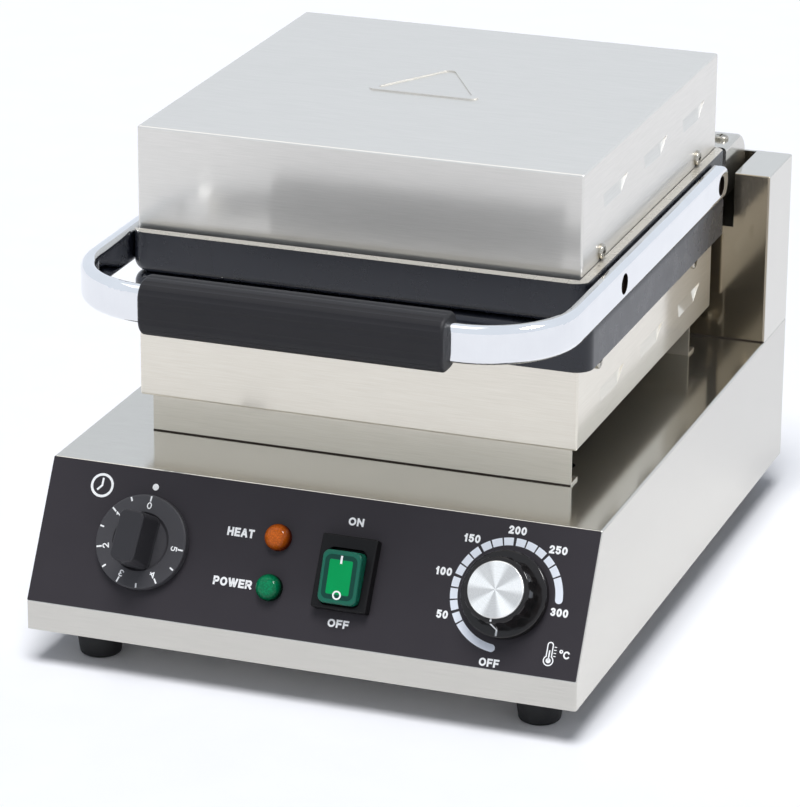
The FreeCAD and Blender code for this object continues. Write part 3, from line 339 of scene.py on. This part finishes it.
# Temperature scale: blocks of pale ink round the knob, long and round-ended at both ends of the scale. The
# gaps between them are wider at the marked temperatures.
THERMOSTAT = (88.6, 32.0)
SCALE_RADIUS = 22.95
SCALE_WIDTH = 3.3
SCALE_ENDS = (263.5, 3.0)
SCALE_TOP = 90.7
BLOCK_STEP = 12.66
WIDE_GAP = 1.2
THIN_GAP = 0.65
CUTS = range(10, -6, -1)  # counted from the top of the scale, every third one at a marked temperature
scale = bmesh.new()
cuts = [(SCALE_TOP + BLOCK_STEP * k, THIN_GAP if k % 3 else WIDE_GAP) for k in CUTS]
cuts = [(SCALE_ENDS[0], 0.0), *cuts, (SCALE_ENDS[1], 0.0)]
for (start, gap), (end, next_gap) in zip(cuts, cuts[1:]):
    first = start - math.degrees(gap / 2 / SCALE_RADIUS)
    last = end + math.degrees(next_gap / 2 / SCALE_RADIUS)
    stroke(scale, arc(THERMOSTAT, SCALE_RADIUS, first, last, 12), SCALE_WIDTH)
for angle in SCALE_ENDS:
    dot(scale, arc(THERMOSTAT, SCALE_RADIUS, angle, angle, 1)[0], SCALE_WIDTH / 2, high=0.9 * INK)
piece("temperature_scale", scale, panel_frame(h=FILM), blue_ink, "base")

# Timer: a charcoal ABS knob with a dished face, a finger bar and a skirt with minutes printed round it.
# The bar that stands above the skirt is painted darker than the skirt, as painted shade.
TIMER = (-76.0, 32.0)
TIMER_REST = 4.0
SKIRT_FACE = 5.1
RIM_RADIUS = 20.1
NUMBER_RADIUS = 15.9
STEP = 54.0
HALF_STEPS = 10
LONG_MARK = 2.4
SHORT_MARK = 1.9
MINUTE_LINE = 0.7
DIGIT_HEIGHT = 3.0
DIGIT_LINE = 0.5
BAR_FOOT = 5.6


def timer_plastic():
    """Textured charcoal ABS, with painted shade making the bar that stands above the skirt darker."""
    material = moulded("textured_charcoal_abs", "#39383b", "#464548", 0.5, 0.35, 0.05,
                       Specular_IOR_Level=0.35)
    tree = material.node_tree
    shader = tree.nodes["Principled BSDF"]
    skirt = shader.inputs["Base Color"].links[0].from_socket
    place = node(tree, "TexCoord")
    rise = node(tree, "VectorMath", {0: place.outputs["Object"], 1: panel_out}, operation="DOT_PRODUCT")
    bar_foot = panel_foot.dot(panel_out) + BAR_FOOT * MM
    # Painted shade: the bar above its foot takes a darker tone than the skirt.
    bar_shade_mask = node(tree, "Math", {0: rise.outputs["Value"], 1: bar_foot}, operation="GREATER_THAN")
    tone = node(tree, "Mix", {0: bar_shade_mask.outputs[0], 6: skirt, 7: linear("#2a292c")}, data_type="RGBA")
    tree.links.new(tone.outputs[2], shader.inputs["Base Color"])
    return material


dress(timer_plastic(), "timer_knob")
minutes = bmesh.new()
for i in range(HALF_STEPS + 1):
    angle = 90.0 - TIMER_REST + STEP / 2 * i
    length = LONG_MARK if i % 2 == 0 else SHORT_MARK
    rim = arc((0, 0), RIM_RADIUS, angle, angle, 1)[0]
    inner = arc((0, 0), RIM_RADIUS - length, angle, angle, 1)[0]
    stroke(minutes, [rim, inner], MINUTE_LINE)
    if i % 2 == 0:
        spot = arc((0, 0), NUMBER_RADIUS, angle, angle, 1)[0]
        words(minutes, str(i // 2), spot, DIGIT_HEIGHT, DIGIT_LINE, turn=angle - 90)
piece("timer_numbers", minutes, panel_frame(*TIMER, SKIRT_FACE), white_ink, "timer_dial")

# Thermostat knob: glossy black phenolic moulding with twelve finger flutes and a spun aluminium disc let into
# its top. A white line runs from the disc over the edge and across the skirt.
KNOB_FACE = 16.5
KNOB_SKIRT = 5.6
POINTER_HALF = 0.4
# Path of the white line: how far up the panel from the knob's middle, and how high above the panel
POINTER = ((-12.3, KNOB_FACE), (-13.4, KNOB_FACE), (-14.4, KNOB_FACE - 1.0), (-15.55, KNOB_SKIRT),
           (-18.0, KNOB_SKIRT))
dress(moulded("glossy_black_phenolic", "#130f0f", "#1a1615", 0.12, 2.0, 0.004, Specular_IOR_Level=0.4),
      "thermostat_knob")


def spun_aluminium():
    """Spun aluminium: rings of fine turning marks, with bright fans painted across the disc as painted
    reflection.
    """
    ring_mm = 0.25
    painted_fan_count = 5.0
    material, tree, shader = new_material("spun_aluminium", {"Metallic": 0.85, "Anisotropic": 0.85})
    place = node(tree, "TexCoord")
    to_disc = panel_frame(*THERMOSTAT).inverted()
    turned = to_disc.to_euler()
    flat = node(tree, "Mapping", {"Vector": place.outputs["Object"], "Location": to_disc.translation,
                                  "Rotation": turned, "Scale": to_disc.to_scale()})
    parts = node(tree, "SeparateXYZ", {0: flat.outputs[0]})
    reach = node(tree, "CombineXYZ", {0: parts.outputs[0], 1: parts.outputs[1]})
    radius = node(tree, "VectorMath", {0: reach.outputs[0]}, operation="LENGTH")
    angle = node(tree, "Math", {0: parts.outputs[1], 1: parts.outputs[0]}, operation="ARCTAN2")
    rings = node(tree, "TexNoise", {"W": radius.outputs["Value"], "Scale": 1 / ring_mm, "Detail": 2.0},
                 noise_dimensions="1D")
    # Painted reflection: bright and dark fans round the disc are painted into its colour.
    waves = node(tree, "Math", {0: angle.outputs[0], 1: painted_fan_count}, operation="MULTIPLY")
    painted_fan = node(tree, "Math", {0: waves.outputs[0]}, operation="SINE")
    lift = node(tree, "MapRange", {0: painted_fan.outputs[0], 1: -0.6, 2: 0.6, 3: 0.0, 4: 1.0})
    shade = node(tree, "Mix", {0: lift.outputs[0], 6: linear("#d3d2cf"), 7: linear("#fffefa")},
                 data_type="RGBA")
    rough = node(tree, "MapRange", {0: rings.outputs[0], 3: 0.2, 4: 0.36})
    groove = node(tree, "Bump", {"Height": rings.outputs[0], "Strength": 0.3, "Distance": 0.01 * MM})
    around = node(tree, "Tangent", direction_type="RADIAL", axis="Y")
    tree.links.new(shade.outputs[2], shader.inputs["Base Color"])
    tree.links.new(rough.outputs[0], shader.inputs["Roughness"])
    tree.links.new(groove.outputs[0], shader.inputs["Normal"])
    tree.links.new(around.outputs[0], shader.inputs["Tangent"])
    return material


dress(spun_aluminium(), "thermostat_knob_cap")
pointer = bmesh.new()
for ends in zip(POINTER, POINTER[1:]):
    corners = [(x, y - s, z + s) for y, z in ends for x in (-POINTER_HALF, POINTER_HALF) for s in (-INK, INK)]
    bmesh.ops.convex_hull(pointer, input=[pointer.verts.new(corner) for corner in corners])
piece("thermostat_pointer", pointer, panel_frame(*THERMOSTAT), white_ink, "thermostat_dial")


# Signal lamps: clear coloured acrylic domes over a reflector with a pebbled inside. The smooth outside shows
# sharp reflections. The pebbled inside's glitter is painted glints in the colour, and painted shade darkens
# each dome towards its foot.
def lamp_acrylic(name, deep, bright):
    """Tinted acrylic: clear skin over painted glints of a pebbled inside, with painted shade towards its
    foot.
    """
    pebble_mm = 0.8
    foot_mm = 2.6
    dome_mm = 6.8
    material, tree, shader = new_material(name, {"Coat Weight": 0.35, "Coat Roughness": 0.03,
                                                 "Roughness": 0.5, "Specular IOR Level": 0.0})
    place = node(tree, "TexCoord")
    pebbles = node(tree, "TexVoronoi", {"Vector": place.outputs["Object"], "Scale": per_metre(pebble_mm)[0]})
    rise = node(tree, "VectorMath", {0: place.outputs["Object"], 1: panel_out}, operation="DOT_PRODUCT")
    film = panel_foot.dot(panel_out)
    # Painted shade darkens the dome towards its foot, and the pebbles are painted glints.
    foot_shade_ramp = node(tree, "MapRange", {0: rise.outputs["Value"], 1: film + foot_mm * MM, 2: film + dome_mm * MM})
    painted_glint = node(tree, "MapRange", {0: pebbles.outputs["Distance"], 1: 0.0, 2: 0.7, 3: 1.0, 4: 0.6})
    lit = node(tree, "Math", {0: foot_shade_ramp.outputs[0], 1: painted_glint.outputs[0]}, operation="MULTIPLY")
    tone = node(tree, "Mix", {0: lit.outputs[0], 6: linear(deep), 7: linear(bright)}, data_type="RGBA")
    tree.links.new(tone.outputs[2], shader.inputs["Base Color"])
    return material


dress(lamp_acrylic("amber_acrylic", "#4c1602", "#e2701c"), "heat_lamp_lens")
dress(lamp_acrylic("green_acrylic", "#011d12", "#038f5c"), "power_lamp_lens")

# Rocker switch: a black nylon frame, and a rocker under a green silicone cover. The cover is thick at its
# rim, and a bright lens shows through its middle between the marks for on and off.
SWITCH = (17.95, 29.0)
ROCKER_TILT = 6.0
PIVOT = 4.1
ROCKER_FACE = 7.0
WINDOW = (10.4, 14.6)
COVER_RING = (14.4, 19.4)
RING_CORNER = 1.8
ON_REACH = (-1.5, 1.9)
ON_LINE = 0.9
OFF_DROP = 0.3
OFF_RADIUS = 1.6
OFF_LINE = 0.7
black_nylon = moulded("moulded_black_nylon", "#0c0b0c", "#121112", 0.45, 0.5, 0.015, Specular_IOR_Level=0.2)
dress(black_nylon, "switch_frame")
dress(moulded("green_silicone", "#0f5a47", "#166a55", 0.35, 1.5, 0.01, Specular_IOR_Level=0.3,
              Subsurface_Weight=0.2, Subsurface_Scale=MM), "switch_rocker")
dress(moulded("bright_green_lens", "#008c4c", "#00a25a", 0.3, 1.0, 0.005, Specular_IOR_Level=0.15),
      "switch_window")
rocker_frame = panel_frame(*SWITCH, PIVOT) @ Matrix.Rotation(math.radians(ROCKER_TILT), 4, "X")
face_frame = rocker_frame @ Matrix.Translation((0, 0, ROCKER_FACE))
shade_ring = bmesh.new()
middle = [(WINDOW[i] + COVER_RING[i]) / 4 - RING_CORNER for i in (0, 1)]
ring = []
for i, (sx, sy) in enumerate(((1, 1), (-1, 1), (-1, -1), (1, -1))):
    ring += arc((sx * middle[0], sy * middle[1]), RING_CORNER, 90 * i, 90 * i + 90, 6)
stroke(shade_ring, ring, (COVER_RING[0] - WINDOW[0]) / 2, closed=True)
shaded_silicone = moulded("shaded_green_silicone", "#0a3a30", "#0f453a", 0.4, 1.5, 0.01,
                          Specular_IOR_Level=0.2)
piece("rocker_inner_ring", shade_ring, face_frame, shaded_silicone, "rocker")
marks = bmesh.new()
stroke(marks, [(0, WINDOW[1] / 2 + reach) for reach in ON_REACH], ON_LINE, low=INK, high=2 * INK)
circle = arc((0, -WINDOW[1] / 2 - OFF_DROP), OFF_RADIUS, 0, 360, 32)[:-1]
stroke(marks, circle, OFF_LINE, closed=True, low=INK, high=2 * INK)
piece("rocker_marks", marks, face_frame, white_ink, "rocker")


# Cast plates: two sand-cast aluminium plates, sprayed with a dark non-stick coat. The upper casting's top rim
# is ground bare after spraying, and its grainy cast skin shows there beside the lid shell.
def coated_casting():
    """Non-stick coat on cast aluminium: bluish charcoal, satin, with a bare pale rim along the top."""
    cast_grain_mm = 0.9
    cloud_mm = 12.0
    ragged_mm = 2.0
    paint_edge_mm = 0.12
    rim_mm = 1.85
    side_mm = 0.9
    skin_shine = 0.35
    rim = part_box("lid_shell")[0].z + rim_mm * MM
    right_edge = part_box("upper_plate")[1].x - side_mm * MM
    material, tree, shader = new_material("non_stick_coat_on_cast_aluminium", {})
    place = node(tree, "TexCoord")
    grain = node(tree, "TexNoise", {"Vector": place.outputs["Object"], "Scale": per_metre(cast_grain_mm)[0],
                                    "Detail": 4.0, "Roughness": 0.6})
    cloud = node(tree, "TexNoise", {"Vector": place.outputs["Object"], "Scale": per_metre(cloud_mm)[0],
                                    "Detail": 5.0})
    level = node(tree, "SeparateXYZ", {0: place.outputs["Object"]})
    ragged = node(tree, "TexNoise", {"Vector": place.outputs["Object"], "Scale": per_metre(ragged_mm)[0]})
    shift = node(tree, "MapRange", {0: ragged.outputs[0], 3: -paint_edge_mm * MM, 4: paint_edge_mm * MM})
    height = node(tree, "Math", {0: level.outputs["Z"], 1: shift.outputs[0]})
    inside = node(tree, "Math", {0: level.outputs["X"], 1: right_edge}, operation="LESS_THAN")
    ground = node(tree, "Math", {0: height.outputs[0], 1: rim}, operation="GREATER_THAN")
    bare = node(tree, "Math", {0: ground.outputs[0], 1: inside.outputs[0]}, operation="MULTIPLY")
    coat = node(tree, "Mix", {0: cloud.outputs[0], 6: linear("#13151d"), 7: linear("#1f2129")},
                data_type="RGBA")
    skin = node(tree, "Mix", {0: grain.outputs[0], 6: linear("#b2ada3"), 7: linear("#d0cbc1")},
                data_type="RGBA")
    tone = node(tree, "Mix", {0: bare.outputs[0], 6: coat.outputs[2], 7: skin.outputs[2]}, data_type="RGBA")
    satin = node(tree, "MapRange", {0: cloud.outputs[0], 3: 0.2, 4: 0.36})
    pits = node(tree, "Bump", {"Height": grain.outputs[0], "Strength": 0.4, "Distance": 0.03 * MM})
    tree.links.new(tone.outputs[2], shader.inputs["Base Color"])
    shine = node(tree, "Math", {0: bare.outputs[0], 1: skin_shine}, operation="MULTIPLY")
    tree.links.new(shine.outputs[0], shader.inputs["Metallic"])
    tree.links.new(satin.outputs[0], shader.inputs["Roughness"])
    tree.links.new(pits.outputs[0], shader.inputs["Normal"])
    return material


dress(coated_casting(), "lower_plate", "upper_plate")


# Screws and nuts: turned steel with a bright nickel plate, slightly yellow, and worn slots. They hold the
# feet, stands, housing, lid, hinge cover, heater clamps and controls.
def plated(name, dark, light, roughness, grain_mm):
    """Plated or bare metal: two close tones, with the gloss broken by a grain of a real size."""
    material, tree, shader = new_material(name, {"Metallic": 1.0})
    place = node(tree, "TexCoord")
    grain = node(tree, "TexNoise", {"Vector": place.outputs["Object"], "Scale": per_metre(grain_mm)[0],
                                    "Detail": 3.0})
    tone = node(tree, "Mix", {0: grain.outputs[0], 6: linear(dark), 7: linear(light)}, data_type="RGBA")
    gloss = node(tree, "MapRange", {0: grain.outputs[0], 3: roughness * 0.6, 4: roughness * 1.4})
    waves = node(tree, "Bump", {"Height": grain.outputs[0], "Strength": 0.2, "Distance": 0.01 * MM})
    tree.links.new(tone.outputs[2], shader.inputs["Base Color"])
    tree.links.new(gloss.outputs[0], shader.inputs["Roughness"])
    tree.links.new(waves.outputs[0], shader.inputs["Normal"])
    return material


dress(plated("nickel_plated_steel", "#958f84", "#cbc6ba", 0.2, 1.0),
      "foot_screws", "foot_nuts", "stand_screws", "housing_screws", "lid_screws", "hinge_cover_screws",
      "lower_clamp_screws", "upper_clamp_screws", "timer_nut", "thermostat_nut")


# Handle: a flat steel bar bent round the front and chromed, with a fluted plastic sleeve for the hand.
# Socket screws hold it, sunk in counterbores, and painted shade darkens the screws and the counterbores.
def chromed_bar():
    """Bright chrome, with painted shade making it dark inside the counterbores of the screws."""
    bore_mm = 4.6
    ripple_mm = 12.0
    low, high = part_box("handle_screws")
    axis_z = (low.z + high.z) / 2
    reach = (high.z - low.z) / 2
    material, tree, shader = new_material("chromed_steel", {"Metallic": 1.0})
    place = node(tree, "TexCoord")
    parts = node(tree, "SeparateXYZ", {0: place.outputs["Object"]})
    flat = node(tree, "CombineXYZ", {1: parts.outputs["Y"], 2: parts.outputs["Z"]})
    bore_shades = []
    for axis_y in (low.y + reach, high.y - reach):
        away = node(tree, "VectorMath", {0: flat.outputs[0], 1: (0, axis_y, axis_z)}, operation="DISTANCE")
        bore_shades.append(node(tree, "Math", {0: away.outputs["Value"], 1: bore_mm * MM}, operation="LESS_THAN"))
    bore_shade = node(tree, "Math", {0: bore_shades[0].outputs[0], 1: bore_shades[1].outputs[0]}, operation="MAXIMUM")
    ripple = node(tree, "TexNoise", {"Vector": place.outputs["Object"], "Scale": per_metre(ripple_mm)[0],
                                     "Detail": 3.0})
    chrome = node(tree, "Mix", {0: ripple.outputs[0], 6: linear("#e2e3e5"), 7: linear("#ecedee")},
                  data_type="RGBA")
    # Painted shade: inside the counterbores the chrome takes a dark brown colour.
    tone = node(tree, "Mix", {0: bore_shade.outputs[0], 6: chrome.outputs[2], 7: linear("#241d19")},
                data_type="RGBA")
    gloss = node(tree, "Mix", {0: bore_shade.outputs[0], 2: 0.06, 3: 0.5})
    waves = node(tree, "Bump", {"Height": ripple.outputs[0], "Strength": 0.2, "Distance": 0.02 * MM})
    tree.links.new(tone.outputs[2], shader.inputs["Base Color"])
    tree.links.new(gloss.outputs[0], shader.inputs["Roughness"])
    tree.links.new(waves.outputs[0], shader.inputs["Normal"])
    return material


dress(chromed_bar(), "handle_bar")
# The screws are painted dark as painted shade in their counterbores.
dress(plated("shade_darkened_steel", "#3a322c", "#5a5048", 0.4, 0.8), "handle_screws")
dress(moulded("fluted_charcoal_plastic", "#19181b", "#222124", 0.5, 0.5, 0.02, Specular_IOR_Level=0.3),
      "handle_grip")

# Inside pieces: steel pins, brackets, clamps and heaters, moulded control bodies and a copper capillary.
# Mineral wool lies round the heaters, and a nylon gland sits in the back wall.
dress(plated("turned_mild_steel", "#8d8c8a", "#a9a8a5", 0.35, 0.4),
      "hinge_pin", "hinge_brackets", "timer_shaft", "thermostat_shaft", "lower_clamps", "upper_clamps",
      "lower_heater", "upper_heater")
dress(moulded("grey_moulded_phenolic", "#3a3836", "#474441", 0.5, 0.6, 0.02), "timer_body", "thermostat_body",
      "lamp_barrels", "lamp_nuts", "terminal_block")
dress(plated("drawn_copper", "#a8643f", "#c47d55", 0.3, 3.0), "thermostat_capillary")
dress(moulded("mineral_wool", "#b9b096", "#d6cfb8", 0.9, 1.5, 0.5), "lower_insulation", "upper_insulation")
dress(black_nylon, "inlet_gland", "inlet_nut")

# Joint lines: a thin matt dark brown strip lies where the front stand and the tower meet the deck, as painted
# shadow in the joint. It is half a millimetre high and shows as a fine line along each foot.
SHADE_STRIP_DEPTH = 0.3
SHADE_STRIP_HEIGHT = 0.5
shade_strips = bmesh.new()
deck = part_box("front_stand")[0].z
for foot in ("front_stand", "rear_tower"):
    low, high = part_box(foot)
    size = Vector((high.x - low.x, SHADE_STRIP_DEPTH * MM, SHADE_STRIP_HEIGHT * MM))
    middle = Vector(((low.x + high.x) / 2, low.y - size.y / 2, deck + size.z / 2))
    bmesh.ops.create_cube(shade_strips, size=1.0, matrix=Matrix.LocRotScale(middle, None, size))
piece("painted_joint_shadow", shade_strips, Matrix(), moulded("painted_joint_shade", "#1d150e", "#2c2117", 0.8, 0.5, 0.05), "base")

# Studio: a white paper sweep under a wide lit ceiling, with the room's cool light all round. The room is
# white to the camera and nearly so in reflections and through clear plastic, and the paper keeps the shadow.
AMBIENT = 0.3
CEILING = 2.75
CEILING_PLACE = (0.15, -0.6, 2.0)
CEILING_SPREAD = math.radians(30)
LIT_MIDDLE = Vector((0, 0, 0.1))
FLOOR_SIZE = 12.0
PAPER_CLOUD = 30.0
world = bpy.data.worlds.new("studio_room")
bpy.context.scene.world = world
world.use_nodes = True
room = world.node_tree
path = node(room, "LightPath")
direct = node(room, "Math", {0: path.outputs["Is Camera Ray"], 1: path.outputs["Is Glossy Ray"]},
              operation="MAXIMUM")
look = node(room, "Math", {0: direct.outputs[0], 1: path.outputs["Is Transmission Ray"]}, operation="MAXIMUM")
strength = node(room, "Mix", {0: look.outputs[0], 2: AMBIENT, 3: 1.0})
walls = node(room, "Mix", {0: path.outputs["Is Camera Ray"], 6: linear("#eef5ff"), 7: linear("#ffffff")},
             data_type="RGBA")
room.links.new(strength.outputs[0], room.nodes["Background"].inputs["Strength"])
room.links.new(walls.outputs[2], room.nodes["Background"].inputs["Color"])

paper, sheet, shader = new_material("white_paper", {"Roughness": 1.0, "Specular IOR Level": 0.0})
fibre = node(sheet, "TexNoise", {"Scale": FLOOR_SIZE / (PAPER_CLOUD * MM), "Detail": 2.0})
tone = node(sheet, "Mix", {0: fibre.outputs[0], 6: linear("#f2f3f8"), 7: linear("#f6f7fb")}, data_type="RGBA")
sheet.links.new(tone.outputs[2], shader.inputs["Base Color"])


def square(name, size, material):
    """Flat square that faces up, in one material."""
    half = size / 2
    corners = [(-half, -half, 0), (half, -half, 0), (half, half, 0), (-half, half, 0)]
    mesh = bpy.data.meshes.new(name)
    mesh.from_pydata(corners, [], [(0, 1, 2, 3)])
    mesh.materials.append(material)
    made = bpy.data.objects.new(name, mesh)
    bpy.context.scene.collection.objects.link(made)
    return made


floor = square("paper_sweep", FLOOR_SIZE, paper)

ceiling = bpy.data.lights.new("lit_ceiling", "SUN")
ceiling.energy = CEILING
ceiling.angle = CEILING_SPREAD
sky = bpy.data.objects.new("lit_ceiling", ceiling)
sky.location = CEILING_PLACE
sky.rotation_euler = (LIT_MIDDLE - Vector(CEILING_PLACE)).to_track_quat("-Z", "Y").to_euler()
sky.visible_glossy = False
bpy.context.scene.collection.objects.link(sky)


def bright_card(name, place, size, glow):
    """Bright square that shows in reflections alone, turned to the machine."""
    shining = {"Base Color": linear("#000000"), "Specular IOR Level": 0.0,
               "Emission Color": linear("#ffffff"), "Emission Strength": glow}
    card = square(name, size, new_material(name, shining)[0])
    card.location = place
    card.rotation_euler = (panel_foot - Vector(place)).to_track_quat("Z", "Y").to_euler()
    card.visible_camera = False
    card.visible_diffuse = False
    card.visible_transmission = False
    card.visible_shadow = False


# A window high on the right puts spots on the glossy plastics, and a lit panel overhead edges the steel bends
bright_card("high_window", place=(1.25, -0.15, 1.65), size=0.55, glow=30.0)
bright_card("overhead_panel", place=(-0.6, -0.2, 2.03), size=1.2, glow=1.8)

# Camera at the photograph's place: a long lens, a little to the right of the machine and above it. Its place
# and turn are those that line up the straight edges of the cabinet, lid and tower.
CAMERA_PLACE = Vector((0.61086, -1.73840, 0.75856))
AZIMUTH = math.radians(19.681)
ELEVATION = math.radians(20.148)
ROLL = math.radians(0.443)
LENS = 193.34
back = Vector((math.sin(AZIMUTH) * math.cos(ELEVATION), -math.cos(AZIMUTH) * math.cos(ELEVATION),
               math.sin(ELEVATION)))
level = Vector((math.cos(AZIMUTH), math.sin(AZIMUTH), 0))
upright = back.cross(level)
right = level * math.cos(ROLL) + upright * math.sin(ROLL)
up = upright * math.cos(ROLL) - level * math.sin(ROLL)
lens = bpy.data.cameras.new("camera")
lens.lens = LENS
lens.sensor_width = 36.0
camera = bpy.data.objects.new("camera", lens)
camera.matrix_world = Matrix.Translation(CAMERA_PLACE) @ Matrix((right, up, back)).transposed().to_4x4()
bpy.context.scene.collection.objects.link(camera)
bpy.context.scene.camera = camera
bpy.context.scene.view_settings.view_transform = "Standard"
